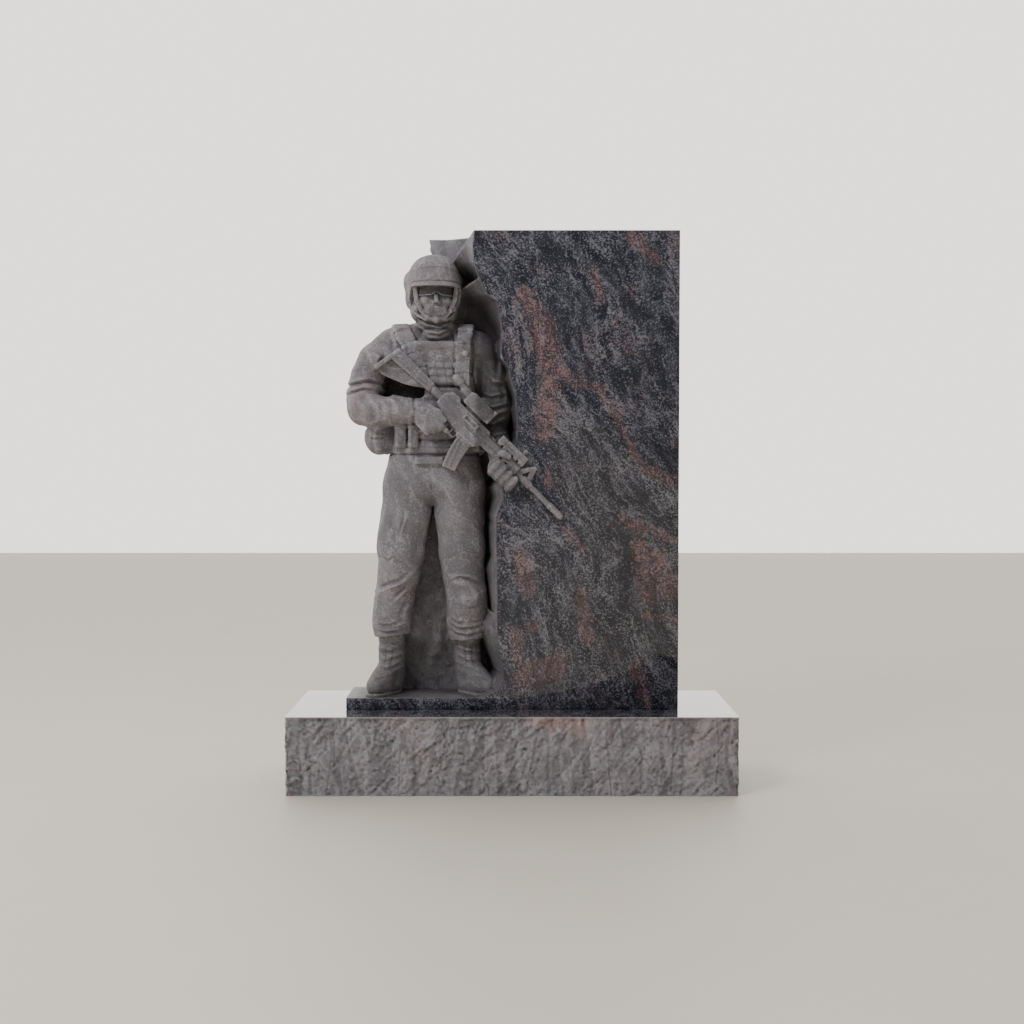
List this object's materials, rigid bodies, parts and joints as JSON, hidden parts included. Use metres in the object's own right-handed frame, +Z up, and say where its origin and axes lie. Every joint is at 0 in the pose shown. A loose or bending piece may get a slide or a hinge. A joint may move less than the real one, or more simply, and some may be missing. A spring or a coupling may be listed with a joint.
{
  "type": "granite headstone",
  "caption": "Upright polished granite headstone with a standing soldier in combat dress carved in half relief from its left side, on a rock-pitched granite base.",
  "frame": {"origin": "middle of the base's underside", "axes": "+X to the right as seen from the front, +Y to the back, +Z up"},
  "size_m": [1.2, 0.4, 1.5003],
  "materials": {
    "base_granite": "rock-pitched sides, polished top",
    "die_granite": "polished face, matt chiselled and carved parts"
  },
  "bodies": {
    "root": {"base": "base_granite", "headstone_with_soldier": "die_granite"}
  },
  "joints": []
}
